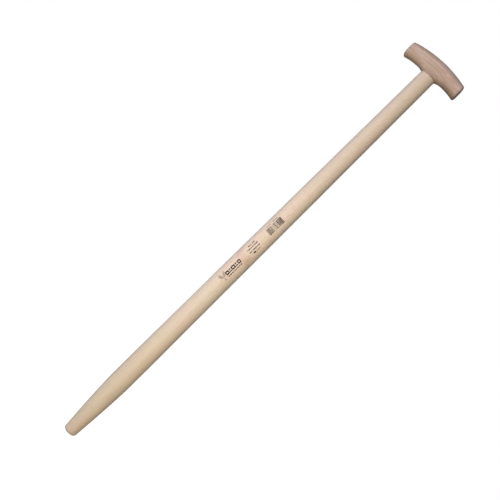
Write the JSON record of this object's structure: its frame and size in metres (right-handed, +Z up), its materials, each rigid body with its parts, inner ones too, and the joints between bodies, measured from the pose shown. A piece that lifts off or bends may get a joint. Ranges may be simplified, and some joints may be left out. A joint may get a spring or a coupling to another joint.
{
  "type": "t-grip tool shaft",
  "caption": "Long round wooden shaft with a blunt tapered foot for a tool socket and a bowed T-shaped grip, wedged and glued on a through tenon.",
  "frame": {"origin": "centre of the flat end face of the shaft's tapered foot", "axes": "+Z up the shaft towards the grip, +X along the grip, -Y is the printed front"},
  "size_m": [0.11, 0.0358, 0.85],
  "materials": {
    "ash": "sanded bare ash, faint streaky grain, matt",
    "beech": "sanded bare steamed beech, pinkish brown with fine flecks, matt",
    "wedge_wood": "bare hardwood wedge, sanded flush",
    "wood_glue": "hardened amber wood glue",
    "print_ink": "thin matt ink, slightly worn"
  },
  "bodies": {
    "root": {"shaft": "ash", "t_grip": "beech", "tenon_wedge": "wedge_wood", "glue_film": "wood_glue"}
  },
  "joints": []
}
